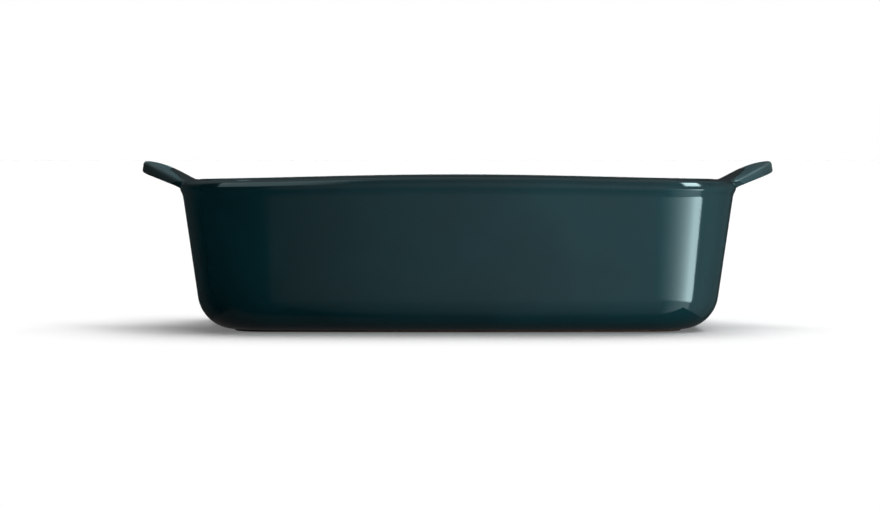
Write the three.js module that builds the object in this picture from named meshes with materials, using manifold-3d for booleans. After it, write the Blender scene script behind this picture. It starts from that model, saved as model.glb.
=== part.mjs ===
// A glazed stoneware baking dish with an upswept lug handle at each short end.
// Millimetres. +X runs along the length, +Y to the back and +Z up.
// The origin is on the table, under the middle of the dish.
import * as THREE from "three";
import { mergeVertices } from "three/addons/utils/BufferGeometryUtils.js";
import Module from "manifold-3d";

const wasm = await Module();
wasm.setup();

// Driving dimensions of the finished dish
const RIM_LENGTH = 256; // over the rim, handles left out
const RIM_WIDTH = 190; // over the rim, at the middle of the long sides
const RIM_HEIGHT = 69; // table to the crest of the rim at the corners
const RIM_CROWN = 2; // extra height of the crest at the middle of the long sides
const CORNER_RADIUS = 42; // corners of the rim, seen from above
const SIDE_BOW = 2.5; // belly of each long side, seen from above
const WALL_LEAN = THREE.MathUtils.degToRad(8.3); // walls lean out from upright
const WALL = 6.2; // wall with both coats of glaze
const FLOOR = 6.5; // floor with both coats of glaze
const BASE_RADIUS = 17; // outside, from wall to underside
const WELL_RADIUS = 18; // inside, from wall to floor
const LIP_RADIUS = 3.4; // round bead along the rim
const LIP_OVERHANG = 0.8; // how far the bead stands out from the wall
const NECK_RADIUS = 8; // hollow under the bead
const FOOT_HEIGHT = 0.8; // bare ring that the dish stands on
const FOOT_WIDTH = 6; // flat of that ring
const RECESS_DEPTH = 2; // table to the glazed panel inside the ring
const GLAZE = 0.6; // thickness of each coat

// Driving dimensions of a handle
const HANDLE_REACH = 21; // beyond the rim
const HANDLE_WIDTH = 76; // along the end wall
const HANDLE_ROOT_DROP = 2.6; // crest of the rim down to where its middle line crosses the rim's outline
const HANDLE_ROOT_HEIGHT = RIM_HEIGHT - HANDLE_ROOT_DROP;
const HANDLE_ROOT_SLOPE = THREE.MathUtils.degToRad(43.5);
const HANDLE_TIP_SLOPE = THREE.MathUtils.degToRad(2);
const HANDLE_ROOT_THICKNESS = 4.5;
const HANDLE_TIP_THICKNESS = 5.7;
const HANDLE_EDGE_RADIUS = 1.7; // rounding along its free edge
const HANDLE_END_THICKNESS = 3.6; // where its two ends run out into the rim
const HANDLE_ROOT_DEPTH = 6; // how far its blank runs into the wall before it is cut to fit

// Clearances
const COAT_GAP = 0.2; // between a coat and the clay it covers
const JOINT_GAP = 0.3; // between a lug and the wall, filled by slip on the real dish
const EDGE_GAP = 0.3; // between neighbouring coats, and round a lug where it passes the outer coat

// Facets
const CORNER_STEPS = 7;
const LONG_SIDE_STEPS = 6;
const ARC_STEPS = 4;
const SMALL_ARC_STEPS = 3;
const HANDLE_STATIONS = 14;
const HANDLE_LENGTH_STEPS = 6;
const SMALLEST_CORNER = 1.5; // no outline gets a tighter corner than this
const WELD = 1e-3; // points closer than this are one point

// How deep each layer lies under the finished surface
const COAT_BACK = GLAZE;
const CLAY_FACE = GLAZE + COAT_GAP;
const JOINT_FACE = CLAY_FACE - JOINT_GAP;

// The outline of the dish seen from above, shifted outwards by "out", which is negative inwards.
// Long sides are flat arcs, corners are round and tangent to them, and end walls are straight.
const sideChord = RIM_LENGTH / 2 - CORNER_RADIUS;
const sideRadius = (sideChord ** 2 + SIDE_BOW ** 2) / (2 * SIDE_BOW);

function outline(out) {
  const halfLength = RIM_LENGTH / 2 + out;
  const halfWidth = RIM_WIDTH / 2 + out;
  const corner = Math.max(CORNER_RADIUS + out, SMALLEST_CORNER);
  const side = sideRadius + out;
  const cornerX = halfLength - corner;
  const sideY = halfWidth - side;
  const cornerY = sideY + Math.sqrt((side - corner) ** 2 - cornerX ** 2);
  const sideAngle = Math.asin(cornerX / (side - corner));
  const points = [];
  for (const end of [1, -1]) {
    points.push([end * halfLength, end * -cornerY]);
    for (let i = 0; i < CORNER_STEPS; i += 1) {
      const angle = THREE.MathUtils.lerp(0, Math.PI / 2 - sideAngle, i / CORNER_STEPS);
      points.push([
        end * (cornerX + corner * Math.cos(angle)),
        end * (cornerY + corner * Math.sin(angle)),
      ]);
    }
    for (let i = 0; i < LONG_SIDE_STEPS; i += 1) {
      const angle = THREE.MathUtils.lerp(sideAngle, -sideAngle, i / LONG_SIDE_STEPS);
      points.push([end * side * Math.sin(angle), end * (sideY + side * Math.cos(angle))]);
    }
    for (let i = 0; i < CORNER_STEPS; i += 1) {
      const angle = THREE.MathUtils.lerp(Math.PI / 2 + sideAngle, Math.PI, i / CORNER_STEPS);
      points.push([
        end * (corner * Math.cos(angle) - cornerX),
        end * (cornerY + corner * Math.sin(angle)),
      ]);
    }
  }
  return points;
}

// The crest of the long sides rises a little towards the middle; the lower walls stay level.
function crowned(x, z) {
  const along = Math.max(0, 1 - (x / (RIM_LENGTH / 2)) ** 2) ** 2;
  const up = THREE.MathUtils.clamp((z - BASE_RADIUS) / (RIM_HEIGHT - BASE_RADIUS), 0, 1);
  return z + RIM_CROWN * along * up;
}

// The wall in section, as (out, z). A face at "depth" under the outer face runs parallel to it.
const wallNormal = new THREE.Vector2(Math.cos(WALL_LEAN), -Math.sin(WALL_LEAN));
const wallDown = new THREE.Vector2(-Math.sin(WALL_LEAN), -Math.cos(WALL_LEAN));
const lipCentre = new THREE.Vector2(-LIP_RADIUS, RIM_HEIGHT - LIP_RADIUS);
const lipDepth = LIP_RADIUS - LIP_OVERHANG;
const floorTop = FOOT_HEIGHT + FLOOR;

function wallPoint(depth, z) {
  const level = lipCentre.clone().addScaledVector(wallNormal, lipDepth - depth);
  return level.addScaledVector(wallDown, (z - level.y) / wallDown.y);
}

// Points on an arc in section, with the normals that point out of the dish's material.
function arc(centre, radius, from, to, steps, facing) {
  const points = [];
  for (let i = 0; i <= steps; i += 1) {
    const angle = THREE.MathUtils.lerp(from, to, i / steps);
    const ray = new THREE.Vector2(Math.cos(angle), Math.sin(angle));
    points.push({
      at: centre.clone().addScaledVector(ray, radius),
      normal: ray.multiplyScalar(facing),
    });
  }
  return points;
}

const OUTWARD = 1;
const TO_CENTRE = -1;
const DOWN = -Math.PI / 2;
const UP = Math.PI / 2;

// The outside, from the foot up over the bottom radius, the wall, the neck and the bead to its crest.
const baseCentre = wallPoint(BASE_RADIUS, FOOT_HEIGHT + BASE_RADIUS);
const neckRun = Math.sqrt((LIP_RADIUS + NECK_RADIUS) ** 2 - (NECK_RADIUS + lipDepth) ** 2);
const neckCentre = lipCentre
  .clone()
  .addScaledVector(wallNormal, NECK_RADIUS + lipDepth)
  .addScaledVector(wallDown, neckRun);
const neckToLip = lipCentre.clone().sub(neckCentre).angle();
const outside = [
  ...arc(baseCentre, BASE_RADIUS, DOWN, -WALL_LEAN, ARC_STEPS, OUTWARD),
  ...arc(neckCentre, NECK_RADIUS, Math.PI - WALL_LEAN, neckToLip, SMALL_ARC_STEPS, TO_CENTRE),
  ...arc(lipCentre, LIP_RADIUS, neckToLip - Math.PI, UP, ARC_STEPS, OUTWARD).slice(1),
];

// The inside, from the crest down the wall and round the well to the flat of the floor.
const leanSine = Math.sin(WALL_LEAN);
const innerLipRadius = (WALL - lipDepth - LIP_RADIUS * leanSine) / (1 - leanSine);
const innerLipCentre = new THREE.Vector2(lipCentre.x, RIM_HEIGHT - innerLipRadius);
const wellCentre = wallPoint(WALL + WELL_RADIUS, floorTop + WELL_RADIUS);
const inside = [
  ...arc(innerLipCentre, innerLipRadius, UP, Math.PI - WALL_LEAN, SMALL_ARC_STEPS, OUTWARD),
  ...arc(wellCentre, WELL_RADIUS, -WALL_LEAN, DOWN, ARC_STEPS, TO_CENTRE),
];

// A layer of the section: each point sunk under the finished surface.
function layer(points, depth) {
  return points.map(({ at, normal }) => at.clone().addScaledVector(normal, -depth));
}

// Sweeps a section round the outline. A capped section ends on flat faces that reach the middle;
// a closed one joins its last point to its first.
function sweep(section, capped) {
  const rings = section.map((point) =>
    outline(point.x).map(([x, y]) => [x, y, crowned(x, point.y)]),
  );
  const count = rings[0].length;
  const positions = rings.flat(2);
  const index = [];
  const bands = capped ? rings.length - 1 : rings.length;
  for (let k = 0; k < bands; k += 1) {
    const low = k * count;
    const high = ((k + 1) % rings.length) * count;
    for (let i = 0; i < count; i += 1) {
      const next = (i + 1) % count;
      index.push(low + i, low + next, high + next);
      index.push(low + i, high + next, high + i);
    }
  }
  if (capped) {
    const first = rings.length * count;
    const last = first + 1;
    const lastRing = (rings.length - 1) * count;
    positions.push(0, 0, section[0].y);
    positions.push(0, 0, section.at(-1).y);
    for (let i = 0; i < count; i += 1) {
      const next = (i + 1) % count;
      index.push(first, next, i);
      index.push(last, lastRing + i, lastRing + next);
    }
  }
  return closedGeometry(positions, index);
}

function closedGeometry(positions, index) {
  const geometry = new THREE.BufferGeometry();
  geometry.setAttribute("position", new THREE.Float32BufferAttribute(positions, 3));
  geometry.setIndex(index);
  return geometry;
}

// Solids for cutting, and back to geometry
function solid(geometry) {
  const merged = mergeVertices(geometry, WELD);
  const vertProperties = merged.attributes.position.array;
  const triVerts = new Uint32Array(merged.index.array);
  return new wasm.Manifold(new wasm.Mesh({ numProp: 3, vertProperties, triVerts }));
}

function geometryOf(body) {
  const mesh = body.getMesh();
  return closedGeometry(Array.from(mesh.vertProperties), Array.from(mesh.triVerts));
}

// The bare foot ring, which only the clay has.
const footOut = baseCentre.x - COAT_GAP;
const footIn = footOut - FOOT_WIDTH;
const panelOut = footIn - EDGE_GAP;

function clayBasin() {
  const underside = RECESS_DEPTH + CLAY_FACE;
  const foot = [
    new THREE.Vector2(footIn, underside),
    new THREE.Vector2(footIn, 0),
    new THREE.Vector2(footOut, 0),
    new THREE.Vector2(footOut, FOOT_HEIGHT + CLAY_FACE),
  ];
  const outer = layer(outside, CLAY_FACE).slice(1);
  const inner = layer(inside, CLAY_FACE).slice(1);
  return sweep([...foot, ...outer, ...inner], true);
}

function outerGlaze() {
  const face = layer(outside, 0);
  const back = layer(outside, COAT_BACK).reverse();
  return sweep([...face, ...back], false);
}

function innerGlaze() {
  const shifted = inside.map(({ at, normal }, i) => ({
    at: i === 0 ? at.clone().setX(at.x - EDGE_GAP) : at,
    normal,
  }));
  const back = layer(shifted, COAT_BACK).reverse();
  const face = layer(shifted, 0);
  return sweep([...back, ...face], true);
}

function undersideGlaze() {
  const low = new THREE.Vector2(panelOut, RECESS_DEPTH);
  const high = new THREE.Vector2(panelOut, RECESS_DEPTH + COAT_BACK);
  return sweep([low, high], true);
}

// The dish's outside as a filled block, used to cut what is fitted to it.
function filledOutside(depth) {
  const shell = layer(outside, depth);
  return solid(sweep(shell, true));
}

// A handle's plate: its middle line leaves the wall steeply and bends over in an arc to the tip.
// Towards both ends of the plate the same arc is drawn smaller, to a "share" of its size.
const handleBend = HANDLE_REACH / (Math.sin(HANDLE_ROOT_SLOPE) - Math.sin(HANDLE_TIP_SLOPE));

function handlePoint(run, lift, share) {
  const bent = Math.max(run, 0) / share;
  const slope = Math.asin(Math.sin(HANDLE_ROOT_SLOPE) - bent / handleBend);
  const rise = share * handleBend * (Math.cos(slope) - Math.cos(HANDLE_ROOT_SLOPE));
  const sunk = Math.min(run, 0) * Math.tan(HANDLE_ROOT_SLOPE);
  const height = HANDLE_ROOT_HEIGHT + rise + sunk;
  return [run - lift * Math.sin(slope), height + lift * Math.cos(slope)];
}

// How far the plate reaches at a place across its width: nearly level along the middle of the
// free edge, then sweeping back and down into the rim at both ends.
function handleReach(across) {
  return HANDLE_EDGE_RADIUS + (HANDLE_REACH - HANDLE_EDGE_RADIUS) * (1 - across ** 4) ** 2;
}

// One section of the plate, sunk by "depth" under its finished faces, as a loop of (run, height).
function handleSection(across, depth) {
  const fullReach = handleReach(across);
  const share = fullReach / HANDLE_REACH;
  const reach = fullReach - depth;
  const radius = HANDLE_EDGE_RADIUS - Math.max(depth, 0);
  const half = (run) => {
    const middle = THREE.MathUtils.lerp(HANDLE_ROOT_THICKNESS, HANDLE_TIP_THICKNESS, run / HANDLE_REACH);
    return THREE.MathUtils.lerp(middle, HANDLE_END_THICKNESS, across ** 4) / 2 - depth;
  };
  const runs = [];
  for (let i = 0; i <= HANDLE_LENGTH_STEPS; i += 1) {
    const share = i / HANDLE_LENGTH_STEPS;
    const run = THREE.MathUtils.lerp(-HANDLE_ROOT_DEPTH, reach - radius, share);
    runs.push([run, half(run)]);
  }
  for (let i = 1; i <= SMALL_ARC_STEPS; i += 1) {
    const angle = (i / SMALL_ARC_STEPS) * UP;
    const run = reach - radius + radius * Math.sin(angle);
    runs.push([run, half(run) - radius + radius * Math.cos(angle)]);
  }
  const top = runs.map(([run, lift]) => handlePoint(run, lift, share));
  const under = runs.map(([run, lift]) => handlePoint(run, -lift, share)).reverse();
  return [...top, ...under];
}

function handleBlank(depth) {
  const halfWidth = HANDLE_WIDTH / 2 - depth;
  const positions = [];
  const index = [];
  let count = 0;
  for (let k = 0; k <= HANDLE_STATIONS; k += 1) {
    const across = -Math.cos((k / HANDLE_STATIONS) * Math.PI);
    const section = handleSection(across, depth);
    count = section.length;
    for (const [run, z] of section) {
      positions.push(RIM_LENGTH / 2 + run, across * halfWidth, z);
    }
  }
  for (let k = 0; k < HANDLE_STATIONS; k += 1) {
    const near = k * count;
    const far = near + count;
    for (let i = 0; i < count; i += 1) {
      const next = (i + 1) % count;
      index.push(near + i, near + next, far + next);
      index.push(near + i, far + next, far + i);
    }
  }
  const last = HANDLE_STATIONS * count;
  const rungs = count / 2;
  for (let i = 0; i < rungs - 1; i += 1) {
    const a = i;
    const b = i + 1;
    const c = count - 2 - i;
    const d = count - 1 - i;
    index.push(a, c, b, a, d, c);
    index.push(last + a, last + b, last + c, last + a, last + c, last + d);
  }
  return closedGeometry(positions, index);
}

// Materials
const glaze = new THREE.MeshStandardMaterial({ color: 0x12343a, roughness: 0.12, metalness: 0 });
const clay = new THREE.MeshStandardMaterial({ color: 0xd8ccb8, roughness: 0.85, metalness: 0 });

function named(name, geometry, material) {
  const mesh = new THREE.Mesh(geometry, material.clone());
  mesh.name = name;
  return mesh;
}

// Assembly: the left handle is the right one turned half round
const HALF_TURN = 180;
const wallForJoint = filledOutside(JOINT_FACE);
const handleOuter = solid(handleBlank(0));
const handleCore = solid(handleBlank(CLAY_FACE));
const handleHollow = solid(handleBlank(COAT_BACK));
const handleWindow = solid(handleBlank(-EDGE_GAP));

const dish = new THREE.Group();
dish.name = "baking_dish";
const windows = handleWindow.add(handleWindow.rotate([0, 0, HALF_TURN]));
dish.add(named("clay_basin", clayBasin(), clay));
dish.add(named("outer_glaze", geometryOf(solid(outerGlaze()).subtract(windows)), glaze));
dish.add(named("inner_glaze", innerGlaze(), glaze));
dish.add(named("underside_glaze", undersideGlaze(), glaze));

const coreGeometry = geometryOf(handleCore.subtract(wallForJoint));
const coatGeometry = geometryOf(handleOuter.subtract(handleHollow).subtract(wallForJoint));
for (const [side, turn] of [["right", 0], ["left", HALF_TURN]]) {
  const handle = new THREE.Group();
  handle.name = `${side}_handle`;
  handle.rotation.z = THREE.MathUtils.degToRad(turn);
  handle.add(named(`${side}_handle_core`, coreGeometry, clay));
  handle.add(named(`${side}_handle_glaze`, coatGeometry, glaze));
  dish.add(handle);
}

export default dish;
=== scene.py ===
# %% [markdown]
# # A glazed baking dish
# The dish is pressed stoneware: one clay body with two lug handles, dipped in a dark teal glaze.
# Everything except the ring it stands on is covered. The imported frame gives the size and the
# place of every piece, and this lesson models the skin, the clay under it and the glaze finish.

import math

import bpy
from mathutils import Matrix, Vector


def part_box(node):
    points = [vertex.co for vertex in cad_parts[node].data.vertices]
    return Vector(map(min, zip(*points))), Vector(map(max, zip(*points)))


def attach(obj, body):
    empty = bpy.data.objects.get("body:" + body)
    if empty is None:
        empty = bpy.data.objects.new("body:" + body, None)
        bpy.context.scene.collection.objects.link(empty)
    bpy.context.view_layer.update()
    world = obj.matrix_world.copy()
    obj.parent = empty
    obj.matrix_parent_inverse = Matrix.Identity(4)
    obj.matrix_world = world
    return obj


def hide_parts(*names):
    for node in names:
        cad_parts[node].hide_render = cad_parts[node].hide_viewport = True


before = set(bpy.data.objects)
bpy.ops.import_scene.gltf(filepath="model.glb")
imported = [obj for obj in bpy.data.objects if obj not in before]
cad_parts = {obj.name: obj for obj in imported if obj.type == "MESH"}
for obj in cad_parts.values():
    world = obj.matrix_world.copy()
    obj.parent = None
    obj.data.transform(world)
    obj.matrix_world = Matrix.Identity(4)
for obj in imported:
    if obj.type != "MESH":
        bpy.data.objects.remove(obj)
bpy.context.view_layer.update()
MM = 0.001

# %% [markdown]
# ## Sizes
# The length, the width and the rim height come from the frame's own nodes. The other sizes repeat
# the section of the solids: a round bead, a hollow neck under it, a leaning wall, a round base.
# The section is written as pairs (out, up): out is counted from the rim's outline, so the same
# pairs hold on the long sides, the ends and the corners.

# %% Driving sizes
coat_low, coat_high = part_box("outer_glaze")
RIM_CROWN = 2.0 * MM
HALF_LENGTH = coat_high.x
HALF_WIDTH = coat_high.y
RIM_HEIGHT = coat_high.z - RIM_CROWN
BASE_HEIGHT = coat_low.z
CORNER_RADIUS = 42.0 * MM
SIDE_BOW = 2.5 * MM
WALL_LEAN = math.radians(8.3)
WALL = 6.2 * MM
LIP_RADIUS = 3.4 * MM
LIP_OVERHANG = 0.8 * MM
NECK_RADIUS = 8.0 * MM
BASE_RADIUS = 17.0 * MM
WELL_RADIUS = 18.0 * MM
FLOOR_THICKNESS = 6.5 * MM
WELL_FLOOR = BASE_HEIGHT + FLOOR_THICKNESS
GLAZE = 0.6 * MM
COAT_GAP = 0.2 * MM
print("rim", round(HALF_LENGTH / MM, 2), round(HALF_WIDTH / MM, 2), round(RIM_HEIGHT / MM, 2))

# %% Points of the section
RIGHT_ANGLE = math.pi / 2
HALF_TURN = math.pi
WALL_NORMAL = Vector((math.cos(WALL_LEAN), -math.sin(WALL_LEAN)))
WALL_DOWN = Vector((-math.sin(WALL_LEAN), -math.cos(WALL_LEAN)))

bead_centre = Vector((-LIP_RADIUS, RIM_HEIGHT - LIP_RADIUS))
neck_aside = LIP_RADIUS - LIP_OVERHANG + NECK_RADIUS
neck_below = math.sqrt((LIP_RADIUS + NECK_RADIUS) ** 2 - neck_aside**2)
neck_centre = bead_centre + WALL_NORMAL * neck_aside + WALL_DOWN * neck_below
wall_top = neck_centre - WALL_NORMAL * NECK_RADIUS
bead_under = math.atan2(neck_centre.y - bead_centre.y, neck_centre.x - bead_centre.x)

inner_aside = WALL - LIP_RADIUS + LIP_OVERHANG
lean_share = math.sin(WALL_LEAN)
inner_radius = (inner_aside - LIP_RADIUS * lean_share) / (1 - lean_share)
inner_centre = Vector((-LIP_RADIUS, RIM_HEIGHT - inner_radius))
inner_top = inner_centre - WALL_NORMAL * inner_radius


def arc(centre, radius, start, stop, steps):
    """Points of an arc in the section, without its first point."""
    turns = [start + (stop - start) * step / steps for step in range(1, steps + 1)]
    return [centre + Vector((math.cos(turn), math.sin(turn))) * radius for turn in turns]


def straight(start, stop, steps):
    """Points of a straight stretch of the section, without its first point."""
    return [start.lerp(stop, step / steps) for step in range(1, steps + 1)]


def tangent_arc_centre(top, radius, flat_height):
    """The centre of the arc that joins the wall through top to a flat, and where it leaves the wall."""
    touch_height = flat_height + radius * (1 - lean_share)
    touch = top + WALL_DOWN * ((top.y - touch_height) / math.cos(WALL_LEAN))
    return touch - WALL_NORMAL * radius, touch


base_centre, wall_foot = tangent_arc_centre(wall_top, BASE_RADIUS, BASE_HEIGHT)
well_centre, inner_foot = tangent_arc_centre(inner_top, WELL_RADIUS, WELL_FLOOR)
print("neck", neck_centre / MM, "base", base_centre / MM, "well", well_centre / MM)

# %% [markdown]
# ## Rows of the section
# Each of these points becomes a ring of vertices round the dish. The bead gets the most rows,
# because the handles are pulled out of it later; a straight stretch of wall needs only a few.

# %% Rows from the neck to the crest, down the outside and down the inside
BAND_ANGLE = math.radians(6.0)
NECK_ROWS = 8
UNDER_ROWS = 9
OVER_ROWS = 24
WALL_ROWS = 8
BASE_ROWS = 14
INNER_LIP_ROWS = 10
WELL_ROWS = 16
FLOOR_ROWS = 2
FLOOR_BAND = 8.0 * MM
band_low = arc(bead_centre, LIP_RADIUS, 0, -BAND_ANGLE, 1)[0]
band_high = arc(bead_centre, LIP_RADIUS, 0, BAND_ANGLE, 1)[0]
neck_start = HALF_TURN + bead_under
neck_stop = HALF_TURN - WALL_LEAN

under_bead = arc(bead_centre, LIP_RADIUS, -BAND_ANGLE, bead_under, UNDER_ROWS)
under_bead += arc(neck_centre, NECK_RADIUS, neck_start, neck_stop, NECK_ROWS)
over_bead = arc(bead_centre, LIP_RADIUS, BAND_ANGLE, RIGHT_ANGLE, OVER_ROWS)
rim_rows = under_bead[::-1] + [band_low, band_high] + over_bead

outside = [band_low] + under_bead
outside += straight(wall_top, wall_foot, WALL_ROWS)
outside += arc(base_centre, BASE_RADIUS, -WALL_LEAN, -RIGHT_ANGLE, BASE_ROWS)

inside = [band_high] + over_bead
inside += arc(inner_centre, inner_radius, RIGHT_ANGLE, HALF_TURN - WALL_LEAN, INNER_LIP_ROWS)
inside += straight(inner_top, inner_foot, WALL_ROWS)
inside += arc(well_centre, WELL_RADIUS, -WALL_LEAN, -RIGHT_ANGLE, WELL_ROWS)
well_edge = inside[-1]
inside += straight(well_edge, well_edge - Vector((FLOOR_BAND, 0)), FLOOR_ROWS)
print(len(rim_rows), "rows in the rim,", len(outside), "down the outside,", len(inside), "inside")

# %% [markdown]
# ## Drawing the rim's outline
# Seen from above the dish is a soft rectangle: long sides that bow out a little, round corners and
# straight ends. It could be a curve object. Here a single vertex is spun about each centre in turn,
# which gives true arcs and lets the ends have as many points as the handles will need.

# %% Outline from spins
SIDE_STEPS = 40
CORNER_STEPS = 22
END_STEPS = 64
NEAR = 0.01 * MM
corner_x = HALF_LENGTH - CORNER_RADIUS
side_radius = (SIDE_BOW**2 + corner_x**2) / (2 * SIDE_BOW)
side_reach = side_radius - HALF_WIDTH
corner_y = math.sqrt((side_radius - CORNER_RADIUS) ** 2 - corner_x**2) - side_reach
side_angle = math.atan2(corner_x, corner_y + side_reach)


def all_selected(chosen):
    bpy.ops.mesh.select_all(action="SELECT" if chosen else "DESELECT")


def spin_on(centre_x, centre_y, height, angle, steps):
    """Draws an arc on from the selected vertex, counter-clockwise seen from above."""
    centre = (centre_x, centre_y, height)
    bpy.ops.mesh.spin(steps=steps, angle=-angle, center=centre, axis=(0, 0, 1))


def draw_outline(name, out, height):
    """Starts a piece as a flat face with the rim's outline, grown by out, and stays in edit mode."""
    bpy.ops.object.select_all(action="DESELECT")
    bpy.ops.mesh.primitive_plane_add(size=HALF_WIDTH)
    piece = bpy.context.object
    piece.name = name
    bpy.ops.object.mode_set(mode="EDIT")
    bpy.ops.mesh.select_mode(type="VERT")
    all_selected(True)
    bpy.ops.mesh.merge(type="CENTER")
    side = side_radius + out
    start = (-side * math.sin(side_angle), side_reach - side * math.cos(side_angle), height)
    bpy.ops.transform.translate(value=start)
    corner = RIGHT_ANGLE - side_angle
    for way in (1, -1):
        spin_on(0, way * side_reach, height, 2 * side_angle, SIDE_STEPS)
        spin_on(way * corner_x, -way * corner_y, height, corner, CORNER_STEPS)
        stride = (0, way * 2 * corner_y / END_STEPS, 0)
        for _ in range(END_STEPS):
            bpy.ops.mesh.extrude_region_move(TRANSFORM_OT_translate={"value": stride})
        spin_on(way * corner_x, way * corner_y, height, corner, CORNER_STEPS)
    all_selected(True)
    bpy.ops.mesh.remove_doubles(threshold=NEAR)
    bpy.ops.mesh.edge_face_add()
    return piece


print("corners turn about", round(corner_x / MM, 1), round(corner_y / MM, 1), "mm from the middle")

# %% [markdown]
# ## Walking the section with insets
# A dish could be lofted from rings. With an inset every ring is a true offset of the one before, so
# the wall keeps its thickness round the corners. A thin slab at the bead's widest line is the
# start; its upper face is inset step by step over the lip and down into the well, and its lower
# face under the bead, down the outer wall and round the base.


# %% Walk from a slab
def thicken(height):
    """Turns the flat face that is being drawn into a closed slab."""
    bpy.ops.mesh.extrude_region_move(TRANSFORM_OT_translate={"value": (0, 0, height)})
    all_selected(True)
    bpy.ops.mesh.normals_make_consistent(inside=False)


def pick_large_face(piece, facing):
    """Selects the one many-sided face that looks up (1) or down (-1)."""
    bpy.ops.object.mode_set(mode="EDIT")
    bpy.ops.mesh.select_mode(type="FACE")
    all_selected(False)
    bpy.ops.object.mode_set(mode="OBJECT")
    for face in piece.data.polygons:
        face.select = len(face.vertices) > 4 and face.normal.z * facing > 0.5
    bpy.ops.object.mode_set(mode="EDIT")


def walk(points, facing):
    """Insets the selected face along the points of a section."""
    for here, there in zip(points, points[1:]):
        inward = here.x - there.x
        along = (there.y - here.y) * facing
        bpy.ops.mesh.inset(thickness=inward, depth=along, use_even_offset=True)


skin = draw_outline("skin", band_low.x, band_low.y)
thicken(band_high.y - band_low.y)
pick_large_face(skin, 1)
walk(inside, 1)
pick_large_face(skin, -1)
walk(outside, -1)
bpy.ops.object.mode_set(mode="OBJECT")
skin_top = max(vertex.co.z for vertex in skin.data.vertices)
print("skin", len(skin.data.polygons), "faces, up to", round(skin_top / MM, 2), "mm")

# %% [markdown]
# ## Pulling the handles out of the bead
# The handles on the real dish are not stuck on: the bead swells out into a thin, slightly dished
# lug and melts back into the rim on both sides. Proportional editing could do it by eye. Here
# every row of the bead has a row on the lug's section, and a bell-shaped weight along the end
# wall moves each vertex from the one to the other, so top, tip and underside stay smooth.

# %% Sections of the lug
HANDLE_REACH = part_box("right_handle_glaze")[1].x - HALF_LENGTH
HANDLE_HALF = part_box("right_handle_core")[1].y + GLAZE + COAT_GAP
HANDLE_DROP = 2.6 * MM
HANDLE_ROOT = RIM_HEIGHT - HANDLE_DROP
ROOT_SLOPE = math.radians(43.5)
TIP_SLOPE = math.radians(2.0)
ROOT_THICKNESS = 4.5 * MM
TIP_THICKNESS = 5.6 * MM
EDGE_RADIUS = 1.4 * MM
handle_bend = HANDLE_REACH / (math.sin(ROOT_SLOPE) - math.sin(TIP_SLOPE))


def lug_point(run, side):
    """A point on the lug's upper (side 1) or lower (side -1) face, at that run from the wall."""
    slope = math.asin(math.sin(ROOT_SLOPE) - run / handle_bend)
    rise = handle_bend * (math.cos(slope) - math.cos(ROOT_SLOPE))
    share = run / HANDLE_REACH
    half = (ROOT_THICKNESS + (TIP_THICKNESS - ROOT_THICKNESS) * share) / 2
    middle = Vector((run, HANDLE_ROOT + rise))
    return middle + Vector((-math.sin(slope), math.cos(slope))) * half * side


def face_of_lug(start_run, stop_run, side, steps):
    """Points along the lug's upper or lower face, without the first one."""
    runs = [start_run + (stop_run - start_run) * step / steps for step in range(1, steps + 1)]
    return [lug_point(run, side) for run in runs]


def meeting(first, first_way, second, second_way):
    """The point where two straight lines of the section cross."""
    apart = second - first
    share = apart.x * second_way.y - apart.y * second_way.x
    share /= first_way.x * second_way.y - first_way.y * second_way.x
    return first + first_way * share


def bent(start, corner, stop, steps):
    """Points of a soft bend between two straight directions that meet at corner."""
    places = [step / steps for step in range(1, steps + 1)]
    return [start.lerp(corner, at).lerp(corner.lerp(stop, at), at) for at in places]


print("lug", round(HANDLE_REACH / MM, 1), "mm long, bent to a radius of", round(handle_bend / MM, 1))

# %% One lug section, row by row
UNDER_START = 0.5 * MM
TOP_STOP = 2.5 * MM
TIP_MARGIN = 0.3 * MM
ROOT_ROWS = 6
LOWER_FACE_ROWS = 10
LOWER_EDGE_ROWS = 5
UPPER_EDGE_ROWS = 6
UPPER_FACE_ROWS = 9
tip_run = HANDLE_REACH - EDGE_RADIUS - TIP_MARGIN
tip_lift = Vector((0, EDGE_RADIUS))
lower_tip = lug_point(tip_run, -1) + tip_lift
upper_tip = lug_point(tip_run, 1) - tip_lift
wall_row = rim_rows[0]
crest_row = rim_rows[-1]
under_start = lug_point(UNDER_START, -1)
under_way = under_start - lug_point(UNDER_START + MM, -1)
under_corner = meeting(under_start, under_way, wall_row, WALL_DOWN)
top_stop = lug_point(TOP_STOP, 1)
top_way = top_stop - lug_point(TOP_STOP + MM, 1)
top_corner = meeting(top_stop, top_way, crest_row, Vector((1, 0)))

lug_rows = [wall_row]
lug_rows += bent(wall_row, under_corner, under_start, ROOT_ROWS)
lug_rows += face_of_lug(UNDER_START, tip_run, -1, LOWER_FACE_ROWS)
lug_rows += arc(lower_tip, EDGE_RADIUS, -RIGHT_ANGLE, 0, LOWER_EDGE_ROWS)
tip_row = len(lug_rows)
lug_rows += arc(upper_tip, EDGE_RADIUS, 0, RIGHT_ANGLE, UPPER_EDGE_ROWS)
lug_rows += face_of_lug(tip_run, TOP_STOP, 1, UPPER_FACE_ROWS)
lug_rows += bent(top_stop, top_corner, crest_row, len(rim_rows) - len(lug_rows))
lug_reach = max(row.x for row in lug_rows)
lug_top = max(row.y for row in lug_rows)
print("lug reaches", round(lug_reach / MM, 2), "and rises to", round(lug_top / MM, 2), "mm")

# %% Move the rows, and note where the glaze runs thin
LIP_THIN = 0.35
LIP_THIN_FROM = RIM_HEIGHT - 5.5 * MM
LIP_THIN_TO = RIM_HEIGHT - 0.5 * MM
EDGE_THIN = 1.6
EDGE_FADE_ROWS = 14
thin = skin.data.attributes.new("thin", "FLOAT", "POINT")


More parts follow.
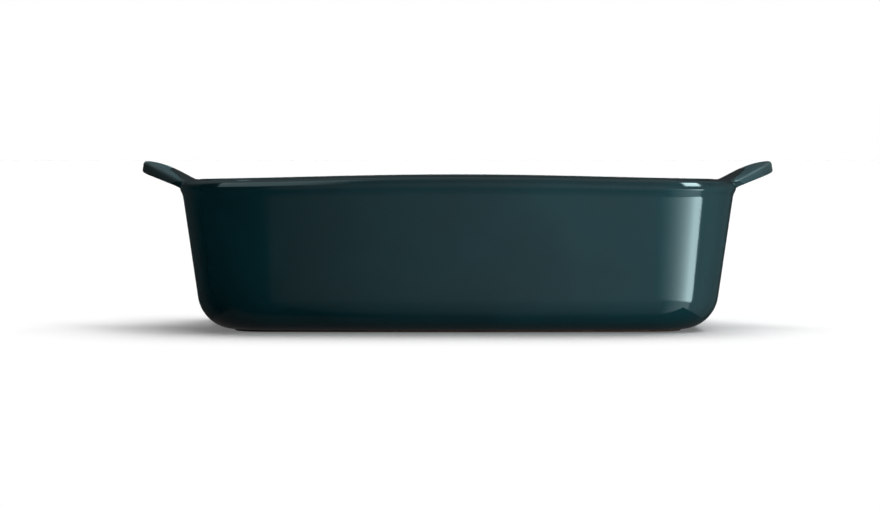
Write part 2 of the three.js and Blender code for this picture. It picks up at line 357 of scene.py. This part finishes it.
def soft_step(low, high, value):
    """0 below low, 1 above high and a smooth climb between."""
    share = min(max((value - low) / (high - low), 0), 1)
    return share * share * (3 - 2 * share)


def in_handle(along, section):
    """Whether a vertex is on the bead or its neck, between the two ends of a handle."""
    on_rim = section.x > crest_row.x - NEAR and section.y > wall_row.y - NEAR
    return on_rim and abs(along) < 1


pulled = 0
for vertex in skin.data.vertices:
    place = vertex.co
    thinness = LIP_THIN * soft_step(LIP_THIN_FROM, LIP_THIN_TO, place.z)
    along = place.y / HANDLE_HALF
    section = Vector((abs(place.x) - HALF_LENGTH, place.z))
    if in_handle(along, section):
        row = min(range(len(rim_rows)), key=lambda index: (rim_rows[index] - section).length)
        pull = (1 - along**4) ** 2
        moved = rim_rows[row].lerp(lug_rows[row], pull)
        vertex.co.x = math.copysign(HALF_LENGTH + moved.x, place.x)
        vertex.co.z = moved.y
        edge = min(EDGE_THIN * max(1 - abs(row - tip_row) / EDGE_FADE_ROWS, 0), 1)
        thinness += (edge - thinness) * pull
        pulled += 1
    thin.data[vertex.index].value = thinness
print(pulled, "vertices pulled into the two handles")

# %% [markdown]
# ## The crown of the rim
# The long sides stand a little higher in the middle than at the corners. Sculpting could do that.
# Here every vertex is lifted by its place, fully at the crest and not at all at the base, so that
# both sides rise alike and the foot stays flat.

# %% Crown of the rim
LIFT_FROM = BASE_RADIUS
for vertex in skin.data.vertices:
    along = min(abs(vertex.co.x) / HALF_LENGTH, 1)
    climb = min(max((vertex.co.z - LIFT_FROM) / (RIM_HEIGHT - LIFT_FROM), 0), 1)
    vertex.co.z += RIM_CROWN * (1 - along**2) ** 2 * climb
crest = max(vertex.co.z for vertex in skin.data.vertices if abs(vertex.co.x) < HALF_WIDTH)
print("crest now at", round(crest / MM, 2), "mm")

# %% [markdown]
# ## The clay under the glaze
# The bare clay shows only at the foot ring. It is the skin again, shrunk by the glaze and a hair of
# space, with the ring walked down from its base by a few more insets. Modelling it whole, and not
# as a loose ring, keeps the body solid when someone cuts the model open.

# %% Clay body with its foot ring
FOOT_INSET = 0.2 * MM
FOOT_WIDTH = 6.0 * MM
FOOT_ROUND = 0.6 * MM
FOOT_ROWS = 5
RECESS_BAND = 4.0 * MM
SMOOTH_ANGLE = math.radians(40)
panel_low, panel_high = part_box("underside_glaze")
recess = panel_high.z + COAT_GAP
clay_base = BASE_HEIGHT + GLAZE + COAT_GAP
foot_out = base_centre.x - FOOT_INSET
foot_in = foot_out - FOOT_WIDTH
outer_round = Vector((foot_out - FOOT_ROUND, FOOT_ROUND))
inner_round = Vector((foot_in + FOOT_ROUND, FOOT_ROUND))

foot = [Vector((base_centre.x, clay_base))]
foot += [Vector((foot_out, clay_base)), Vector((foot_out, FOOT_ROUND))]
foot += arc(outer_round, FOOT_ROUND, 0, -RIGHT_ANGLE, FOOT_ROWS)
foot += [Vector((inner_round.x, 0))]
foot += arc(inner_round, FOOT_ROUND, -RIGHT_ANGLE, -HALF_TURN, FOOT_ROWS)
foot += [Vector((foot_in, recess)), Vector((foot_in - RECESS_BAND, recess))]


def select_only(piece):
    bpy.ops.object.select_all(action="DESELECT")
    piece.select_set(True)
    bpy.context.view_layer.objects.active = piece


def copy_of(piece, name):
    select_only(piece)
    bpy.ops.object.duplicate()
    bpy.context.object.name = name
    return bpy.context.object


clay = copy_of(skin, "clay_body")
bpy.ops.object.mode_set(mode="EDIT")
all_selected(True)
bpy.ops.transform.shrink_fatten(value=-(GLAZE + COAT_GAP), use_even_offset=True)
pick_large_face(clay, -1)
walk(foot, -1)
bpy.ops.object.mode_set(mode="OBJECT")
bpy.ops.object.shade_smooth_by_angle(angle=SMOOTH_ANGLE)
stands_at = min(vertex.co.z for vertex in clay.data.vertices)
print("clay body stands at", round(stands_at / MM, 3), "mm")

# %% [markdown]
# ## The glaze as a coat
# The glaze is a skin of glass about half a millimetre thick. The base face is taken away, so that
# the coat stops above the foot ring, and Solidify gives it its thickness towards the clay. A second,
# shrunken copy would do the same, but then both copies would have to be joined along the foot.


# %% Coat with its thickness
def add_modifier(piece, kind, **settings):
    """Adds a modifier, sets it and applies it, as the Apply button does."""
    bpy.context.view_layer.objects.active = piece
    modifier = piece.modifiers.new(kind.lower(), kind)
    for setting, value in settings.items():
        setattr(modifier, setting, value)
    bpy.ops.object.modifier_apply(modifier=modifier.name)


coat = skin
coat.name = "glaze_coat"
select_only(coat)
pick_large_face(coat, -1)
bpy.ops.mesh.delete(type="FACE")
bpy.ops.object.mode_set(mode="OBJECT")
add_modifier(coat, "SOLIDIFY", thickness=GLAZE, offset=-1.0, use_even_offset=True)
bpy.ops.object.shade_smooth_by_angle(angle=SMOOTH_ANGLE)
print("coat", len(coat.data.polygons), "faces")

# %% [markdown]
# ## The glazed panel underneath
# Inside the foot ring the underside is glazed too. It could be cut from the coat's base. A shallow
# sheet of its own leaves the ring bare between the two: the same outline, drawn smaller, filled,
# given its thickness and a rounded edge.

# %% Underside panel
PANEL_ROUND = 0.25 * MM
ROUND_SEGMENTS = 3
panel = draw_outline("underside_coat", panel_high.x - HALF_LENGTH, panel_low.z)
thicken(panel_high.z - panel_low.z)
bpy.ops.object.mode_set(mode="OBJECT")
add_modifier(panel, "BEVEL", width=PANEL_ROUND, segments=ROUND_SEGMENTS, limit_method="ANGLE")
bpy.ops.object.shade_smooth_by_angle(angle=SMOOTH_ANGLE)
print("underside panel", [round(size / MM, 1) for size in panel.dimensions])

# %% [markdown]
# ## Fired surface, shared by glaze and clay
# Nothing that comes out of a kiln is even. A painted picture could show that, but it would need
# unwrapping. One node group gives both finishes their slow change of tone and their fine grain,
# each at its own scale, from Object coordinates, so that the pattern stays on the piece.

# %% Node group for fired surfaces
TONE_DETAIL = 3.0
GRAIN_DETAIL = 2.0
fired = bpy.data.node_groups.new("fired_surface", "ShaderNodeTree")
for pattern in ("Tone", "Grain"):
    scale = pattern + " Scale"
    fired.interface.new_socket(name=scale, in_out="INPUT", socket_type="NodeSocketFloat")
    fired.interface.new_socket(name=pattern, in_out="OUTPUT", socket_type="NodeSocketFloat")
entry = fired.nodes.new("NodeGroupInput")
result = fired.nodes.new("NodeGroupOutput")
fired_place = fired.nodes.new("ShaderNodeTexCoord").outputs["Object"]


def add_noise(pattern, detail):
    """One noise of the group, from its own scale to its own output."""
    node = fired.nodes.new("ShaderNodeTexNoise")
    node.inputs["Detail"].default_value = detail
    fired.links.new(fired_place, node.inputs["Vector"])
    fired.links.new(entry.outputs[pattern + " Scale"], node.inputs["Scale"])
    fired.links.new(node.outputs["Fac"], result.inputs[pattern])


add_noise("Tone", TONE_DETAIL)
add_noise("Grain", GRAIN_DETAIL)
print("node group", fired.name, "with", len(fired.nodes), "nodes")


# %% Helpers for materials
def new_material(name):
    material = bpy.data.materials.new(name)
    material.use_nodes = True
    return material, material.node_tree.nodes, material.node_tree.links


def use_fired(nodes, tone_scale, grain_scale):
    group = nodes.new("ShaderNodeGroup")
    group.node_tree = fired
    group.inputs["Tone Scale"].default_value = tone_scale
    group.inputs["Grain Scale"].default_value = grain_scale
    return group.outputs["Tone"], group.outputs["Grain"]


def ramp(nodes, links, source, span, results):
    """Maps a span of a value to a span of results, with a smooth climb, held at its ends."""
    node = nodes.new("ShaderNodeMapRange")
    node.interpolation_type = "SMOOTHSTEP"
    node.inputs["From Min"].default_value, node.inputs["From Max"].default_value = span
    node.inputs["To Min"].default_value, node.inputs["To Max"].default_value = results
    links.new(source, node.inputs["Value"])
    return node.outputs["Result"]


def blend_colours(nodes, links, mask, first, second):
    """Mixes two colours, each a plain colour or a socket, by a mask that varies."""
    node = nodes.new("ShaderNodeMix")
    node.data_type = "RGBA"
    links.new(mask, node.inputs["Factor"])
    for socket, colour in (("A", first), ("B", second)):
        target = next(i for i in node.inputs if i.name == socket and i.type == "RGBA")
        if isinstance(colour, bpy.types.NodeSocket):
            links.new(colour, target)
        else:
            target.default_value = (*colour, 1.0)
    return next(o for o in node.outputs if o.type == "RGBA")


def combine(nodes, links, operation, first, second):
    """Works on two values that both vary, such as MULTIPLY or ADD."""
    node = nodes.new("ShaderNodeMath")
    node.operation = operation
    node.use_clamp = True
    links.new(first, node.inputs[0])
    links.new(second, node.inputs[1])
    return node.outputs["Value"]


def add_bump(nodes, links, height, distance, shader):
    """Gives a shader a fine relief from a height that varies."""
    bump = nodes.new("ShaderNodeBump")
    bump.inputs["Distance"].default_value = distance
    links.new(height, bump.inputs["Height"])
    links.new(bump.outputs["Normal"], shader.inputs["Normal"])


print("helpers for the finishes are ready")

# %% [markdown]
# ## Teal glaze
# The glaze is a deep teal glass over dark clay, and its tone drifts slowly between two depths. On the
# lip and the handles it runs thin and turns greyer, and on the handles it is more satin as well.
# A painted mask could mark the thin places. They were stored on the mesh as an attribute instead,
# because they follow the rows of the section; a noise breaks their edge up.

# %% Glaze material
TEAL = (0.0033, 0.0330, 0.0410)
TEAL_DEEP = (0.0028, 0.0280, 0.0350)
THIN_GREY = (0.0160, 0.0240, 0.0250)
POLISHED = (0.06, 0.11)
SATIN = 0.52
THINNER_THAN_LIP = (0.352, 0.43)
GLAZE_BUMP = 0.01 * MM


def make_glaze():
    material, nodes, links = new_material("teal_glaze")
    shader = nodes["Principled BSDF"]
    tone, grain = use_fired(nodes, tone_scale=22.0, grain_scale=700.0)
    drift = ramp(nodes, links, tone, (0.35, 0.65), (0.0, 1.0))
    body = blend_colours(nodes, links, drift, TEAL, TEAL_DEEP)
    attribute = nodes.new("ShaderNodeAttribute")
    attribute.attribute_name = "thin"
    broken = ramp(nodes, links, tone, (0.25, 0.75), (0.55, 1.0))
    mask = combine(nodes, links, "MULTIPLY", attribute.outputs["Fac"], broken)
    colour = blend_colours(nodes, links, mask, body, THIN_GREY)
    links.new(colour, shader.inputs["Base Color"])
    polished = ramp(nodes, links, tone, (0.3, 0.7), POLISHED)
    satin = ramp(nodes, links, attribute.outputs["Fac"], THINNER_THAN_LIP, (0.0, SATIN))
    links.new(combine(nodes, links, "ADD", polished, satin), shader.inputs["Roughness"])
    add_bump(nodes, links, grain, GLAZE_BUMP, shader)
    return material


glaze = make_glaze()
print("glaze", len(glaze.node_tree.nodes), "nodes")

# %% [markdown]
# ## Bare clay
# The foot ring is wiped clean before firing. The dry stoneware is a dark brown grey, quite rough,
# with fine grog in it and a darker haze where the kiln toasted it. The shared group gives both: its
# slow tone becomes the haze, and the peaks of its grain become the specks.

# %% Clay material
BROWN_GREY = (0.115, 0.088, 0.068)
TOASTED = (0.060, 0.043, 0.033)
CLAY_ROUGHNESS = (0.75, 0.95)
CLAY_BUMP = 0.25 * MM


def make_clay():
    material, nodes, links = new_material("bare_clay")
    shader = nodes["Principled BSDF"]
    tone, grain = use_fired(nodes, tone_scale=55.0, grain_scale=1400.0)
    haze = ramp(nodes, links, tone, (0.35, 0.7), (0.0, 0.8))
    body = blend_colours(nodes, links, haze, BROWN_GREY, TOASTED)
    specks = ramp(nodes, links, grain, (0.62, 0.72), (0.0, 0.7))
    links.new(blend_colours(nodes, links, specks, body, TOASTED), shader.inputs["Base Color"])
    links.new(ramp(nodes, links, grain, (0.3, 0.7), CLAY_ROUGHNESS), shader.inputs["Roughness"])
    add_bump(nodes, links, grain, CLAY_BUMP, shader)
    return material


bare_clay = make_clay()
print("clay", len(bare_clay.node_tree.nodes), "nodes")

# %% [markdown]
# ## Tying the pieces to the frame
# Each piece rides on the one body, the solids it stands for are hidden, and it takes its finish.

# %% Ride, replace, finish
coat.data.materials.append(glaze)
panel.data.materials.append(glaze)
clay.data.materials.append(bare_clay)
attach(coat, "root")
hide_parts("outer_glaze", "inner_glaze", "right_handle_glaze", "left_handle_glaze")
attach(panel, "root")
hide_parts("underside_glaze")
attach(clay, "root")
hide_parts("clay_basin", "right_handle_core", "left_handle_core")
print("three pieces ride on the root")

# %% [markdown]
# ## Floor
# The photograph has a seamless white ground with a soft shadow at the dish. A large plane does it:
# to the camera it is white paper with a faint glow, and to the light that bounces around it is a
# darker grey, which keeps the walls of the dish as deep in tone as they are in the photograph.
# Reflections don't see it, because they have surroundings of their own.

# %% Floor
FLOOR_SIZE = 60.0
WHITE = (1.0, 1.0, 1.0, 1.0)
PAPER_GLOW = 0.15
PAPER = (0.86, 0.86, 0.86)
BOUNCE_GREY = (0.45, 0.45, 0.45)
bpy.ops.object.select_all(action="DESELECT")
bpy.ops.mesh.primitive_plane_add(size=FLOOR_SIZE)
floor = bpy.context.object
floor.name = "floor"
floor.visible_glossy = False


def seen_directly(nodes, links):
    """1 for camera, glossy and transmission rays, 0 for the rays that light the scene."""
    path = nodes.new("ShaderNodeLightPath")
    total = path.outputs["Is Camera Ray"]
    for kind in ("Is Glossy Ray", "Is Transmission Ray"):
        total = combine(nodes, links, "ADD", total, path.outputs[kind])
    return total


def make_floor():
    material, nodes, links = new_material("floor_paper")
    shader = nodes["Principled BSDF"]
    direct = seen_directly(nodes, links)
    paper = blend_colours(nodes, links, direct, BOUNCE_GREY, PAPER)
    links.new(paper, shader.inputs["Base Color"])
    paper_glow = ramp(nodes, links, direct, (0.0, 1.0), (0.0, PAPER_GLOW))
    links.new(paper_glow, shader.inputs["Emission Strength"])
    shader.inputs["Emission Color"].default_value = WHITE
    shader.inputs["Roughness"].default_value = 1.0
    shader.inputs["Specular IOR Level"].default_value = 0.0
    return material


floor.data.materials.append(make_floor())
print("floor", FLOOR_SIZE, "m wide")

# %% [markdown]
# ## White world
# Above the horizon the background is plain white. The same world lights the scene only weakly: a
# mix of two backgrounds asks, as the floor does, whether a ray sees it directly.

# %% White world
FILL = 0.10
world = bpy.data.worlds.new("white_room")
bpy.context.scene.world = world
world.use_nodes = True
sky, sky_links = world.node_tree.nodes, world.node_tree.links
fill = sky["Background"]
fill.inputs["Color"].default_value = WHITE
fill.inputs["Strength"].default_value = FILL
white = sky.new("ShaderNodeBackground")
white.inputs["Color"].default_value = WHITE
sky_mix = sky.new("ShaderNodeMixShader")
sky_links.new(seen_directly(sky, sky_links), sky_mix.inputs["Fac"])
sky_links.new(fill.outputs["Background"], sky_mix.inputs[1])
sky_links.new(white.outputs["Background"], sky_mix.inputs[2])
sky_links.new(sky_mix.outputs["Shader"], sky["World Output"].inputs["Surface"])
print("world fill", FILL)

# %% [markdown]
# ## A tent for the reflections
# Glossy ware shows its surroundings, so a photographer builds them from cards: a pale one in front, a
# bright panel and a window on the right, a card high on the left, and darkness behind and at the
# left. They could be planes. Here they are one large ball round the set, with its brightness stored
# per vertex, so that soft edges need no picture. Only reflections see it. Angles are in degrees,
# seen from the dish.


# %% Directions, and soft ranges of angles
def direction(azimuth, elevation):
    """The way to a place: azimuth from the front towards the right, elevation from the table."""
    turn, lift = math.radians(azimuth), math.radians(elevation)
    flat = math.cos(lift)
    return Vector((math.sin(turn) * flat, -math.cos(turn) * flat, math.sin(lift)))


def mirror_facing(azimuth, elevation):
    """Turn and tilt of a surface that mirrors this direction to a viewer in front of the dish."""
    out = direction(azimuth, elevation) + direction(0, 0)
    if out.length < 0.01:
        return 0, 90
    out.normalize()
    return math.degrees(math.atan2(out.x, -out.y)), math.degrees(math.asin(out.z))


def level(value, low, high):
    """0 below low, 1 above high and a straight climb between."""
    return min(max((value - low) / (high - low), 0), 1)


def between(value, low, high, soft):
    """1 inside a range of angles, falling to 0 over soft degrees at both ends."""
    return level(value, low - soft, low) * (1 - level(value, high, high + soft))


print("a card at 60 degrees is mirrored by a wall turned", round(mirror_facing(60, 0)[0], 1))

# %% Brightness of each card by direction
FRONT_PALE, FRONT_DIM = 0.45, 0.15
FRONT_LEFT, FRONT_RIGHT = -9, 6
# Each fall is a share of the brightness, lost between two angles below the table's level
TABLE_FALLS = ((0.3, 20, 30), (0.2, 30, 56), (0.35, 56, 74))
HIGH_FALL = 0.4
BACK_DARK, BACK_PALE = 0.03, 0.30
PANEL_LEFT, PANEL_RIGHT = 12, 78
PANEL_BASE, PANEL_BASE_AT, PANEL_GROWTH = 0.6, 19.5, 16.8
PANEL_PEAK, PANEL_FOOT = 11.0, 1.9
SIDE_WALL, SIDE_FALL = 0.54, 0.65
WINDOW = 16.0
LEFT_CARD = 1.4
CEILING = 0.3


def front_card(azimuth, elevation):
    """The pale card in front, dimmer at its left edge, high up and down on the table."""
    across = level(azimuth, FRONT_LEFT - 2, FRONT_LEFT) * (1 - level(azimuth, PANEL_RIGHT, 165))
    bright = FRONT_DIM + (FRONT_PALE - FRONT_DIM) * level(azimuth, FRONT_LEFT, FRONT_RIGHT)
    low = sum(fall * level(-elevation, start, stop) for fall, start, stop in TABLE_FALLS)
    high = HIGH_FALL * level(elevation, 15, 40)
    return bright * across * (1 - low - high)


def back_card(azimuth, elevation):
    """The room behind: nearly black at the table's level, pale above."""
    bright = BACK_DARK + (BACK_PALE - BACK_DARK) * level(elevation, 15, 60)
    return bright * level(abs(azimuth), 110, 130)


def right_panel(azimuth, elevation):
    """The bright panel on the right, stronger towards its far edge, and its dim lower part."""
    strong = min(PANEL_BASE * math.exp((azimuth - PANEL_BASE_AT) / PANEL_GROWTH), PANEL_PEAK)
    strong *= between(azimuth, PANEL_LEFT, PANEL_RIGHT, 1) * between(elevation, -21, -13, 2)
    turn, tilt = mirror_facing(azimuth, elevation)
    weak = PANEL_FOOT * level(turn, 10, 30) * (1 - level(turn, 36, 38)) * between(tilt, -42, -11, 3)
    return max(strong, weak)


def right_wall(azimuth, elevation):
    """The pale wall beyond the panel, darker towards the back."""
    bright = SIDE_WALL * (1 - SIDE_FALL * level(azimuth, 95, 130))
    return bright * between(azimuth, PANEL_RIGHT + 3, 140, 20) * between(elevation, -50, 12, 8)


def window(azimuth, elevation):
    """A window high on the right, set so that only the corner of the rim mirrors it forwards."""
    turn, tilt = mirror_facing(azimuth, elevation)
    return WINDOW * between(turn, 26, 35, 2) * between(tilt, 17, 42, 3)


def left_card(azimuth, elevation):
    """A card high on the left, which draws the pale line on the left half of the rim."""
    turn, tilt = mirror_facing(azimuth, elevation)
    return LEFT_CARD * between(turn, -34, -4.2, 0.6) * between(tilt, 14, 44, 5)


def ceiling(azimuth, elevation):
    """The pale ceiling, the same all round."""
    return CEILING * level(elevation, 50, 75)


print("front card", round(front_card(30, 0), 2), "panel", round(right_panel(70, -15), 2))

# %% The ball that carries them
TENT_RADIUS = 25.0
TENT_SEGMENTS = 360
TENT_RINGS = 180
DAYLIGHT = Vector((0.74, 1.0, 1.03))
WHITE_CARD = Vector((1.0, 1.0, 1.0))
WHITE_PARTS = (front_card, back_card, ceiling)
COOL_PARTS = (right_panel, right_wall, window, left_card)


def tent_glow(azimuth, elevation):
    """Light seen in a direction: the brightest part wins."""
    neutral = max(part(azimuth, elevation) for part in WHITE_PARTS)
    cool = max(part(azimuth, elevation) for part in COOL_PARTS)
    return DAYLIGHT * cool if cool > neutral else WHITE_CARD * neutral


def only_in_reflections(stage_piece):
    for ray in ("camera", "diffuse", "transmission", "volume_scatter", "shadow"):
        setattr(stage_piece, "visible_" + ray, False)


def make_tent():
    material, nodes, links = new_material("tent_cloth")
    attribute = nodes.new("ShaderNodeAttribute")
    attribute.attribute_name = "glow"
    light = nodes.new("ShaderNodeEmission")
    links.new(attribute.outputs["Color"], light.inputs["Color"])
    links.new(light.outputs["Emission"], nodes["Material Output"].inputs["Surface"])
    return material


bpy.ops.object.select_all(action="DESELECT")
bpy.ops.mesh.primitive_uv_sphere_add(
    segments=TENT_SEGMENTS, ring_count=TENT_RINGS, radius=TENT_RADIUS
)
tent = bpy.context.object
tent.name = "reflection_tent"
only_in_reflections(tent)
glow = tent.data.attributes.new("glow", "FLOAT_COLOR", "POINT")
for vertex in tent.data.vertices:
    towards = vertex.co.normalized()
    azimuth = math.degrees(math.atan2(towards.x, -towards.y))
    elevation = math.degrees(math.asin(min(max(towards.z, -1), 1)))
    glow.data[vertex.index].color = (*tent_glow(azimuth, elevation), 1.0)
tent.data.materials.append(make_tent())
print("tent with", len(tent.data.vertices), "points")

# %% [markdown]
# ## Dark card under the dish: painted shade
# Reflections don't see the floor, so the round of the base would mirror the tent from below the table.
# A nearly black card just under the dish, with a faint glow, stops that: it is painted shade that
# stands in for the floor in the dish's shadow, and like the tent it is only in reflections.

# %% Dark card under the dish, painted shade of the floor
CARD_MARGIN = 10.0 * MM
CARD_DROP = 0.5 * MM
CARD_BLACK = (0.0, 0.0, 0.0, 1.0)
CARD_GLOW = 0.055


# Painted shade: black with a faint glow, the floor in the dish's shadow as the base mirrors it.
def make_painted_floor_shade():
    material, nodes, _ = new_material("painted_floor_shade")
    shader = nodes["Principled BSDF"]
    shader.inputs["Base Color"].default_value = CARD_BLACK
    shader.inputs["Specular IOR Level"].default_value = 0.0
    shader.inputs["Emission Color"].default_value = WHITE
    shader.inputs["Emission Strength"].default_value = CARD_GLOW
    return material


bpy.ops.object.select_all(action="DESELECT")
bpy.ops.mesh.primitive_plane_add(size=2, location=(0, 0, -CARD_DROP))
card = bpy.context.object
card.name = "dark_card"
card.scale = (HALF_LENGTH - CARD_MARGIN, HALF_WIDTH - CARD_MARGIN, 1)
only_in_reflections(card)
card.data.materials.append(make_painted_floor_shade())
print("dark card", [round(2 * half / MM) for half in card.scale[:2]], "mm")

# %% [markdown]
# ## Studio lights
# Two far lamps light floor and dish alike: a very wide one high behind the dish, and a smaller, weak
# one high on the right. Two small softboxes, in front at the right and beyond the right corner,
# light the dish alone, so that the front wall gets brighter from left to right.

# %% Lamps
SOFTBOX_LENGTH = 0.12
SOFTBOX_HEIGHT = 0.06
lit = bpy.data.collections.new("lit_by_softboxes")
for piece in (coat, panel, clay):
    lit.objects.link(piece)


def add_lamp(name, kind, place, aim):
    """A lamp at a place that looks at its aim and isn't mirrored."""
    facing = (aim - place).to_track_quat("-Z", "Y").to_euler()
    bpy.ops.object.select_all(action="DESELECT")
    bpy.ops.object.light_add(type=kind, location=place, rotation=facing)
    lamp = bpy.context.object
    lamp.name = name
    lamp.visible_glossy = False
    return lamp


def far_lamp(name, azimuth, elevation, width, on_floor):
    """A lamp so far off that it lights the floor evenly, by on_floor; width is its angle."""
    lamp = add_lamp(name, "SUN", direction(azimuth, elevation), Vector((0, 0, 0)))
    lamp.data.angle = math.radians(width)
    lamp.data.energy = on_floor * math.pi / math.sin(math.radians(elevation))


def softbox(name, place, aim, power):
    """A small lamp close to the dish, which lights the dish alone."""
    lamp = add_lamp(name, "AREA", Vector(place), Vector(aim))
    lamp.data.shape = "RECTANGLE"
    lamp.data.size = SOFTBOX_LENGTH
    lamp.data.size_y = SOFTBOX_HEIGHT
    lamp.data.energy = power
    lamp.visible_camera = False
    lamp.light_linking.receiver_collection = lit


far_lamp("from_behind", azimuth=163, elevation=60, width=56, on_floor=0.80)
far_lamp("from_right", azimuth=80, elevation=58, width=16, on_floor=0.10)
softbox("front_softbox", place=(0.13, -0.29, 0.04), aim=(0.13, 0.0, 0.04), power=0.38)
softbox("side_softbox", place=(0.38, -0.20, 0.05), aim=(0.12, -0.06, 0.03), power=0.24)
print("four lamps")

# %% [markdown]
# ## Camera
# The dish is photographed square on from its long side, just above the rim, with a long lens. The
# camera's distance, lens and aim were fitted to the dish's outline in the photograph.

# %% Camera
DISTANCE = 1.7
ELEVATION = math.radians(1.65)
LENS = 146.3
AIM = Vector((-0.0083, 0.0, 0.0337))
back = Vector((0.0, -math.cos(ELEVATION), math.sin(ELEVATION)))
bpy.ops.object.select_all(action="DESELECT")
bpy.ops.object.camera_add(location=AIM + back * DISTANCE, rotation=(RIGHT_ANGLE - ELEVATION, 0, 0))
camera = bpy.context.object
camera.name = "photo_camera"
camera.data.lens = LENS
bpy.context.scene.camera = camera
bpy.context.scene.view_settings.view_transform = "Standard"
print("camera at", camera.location)
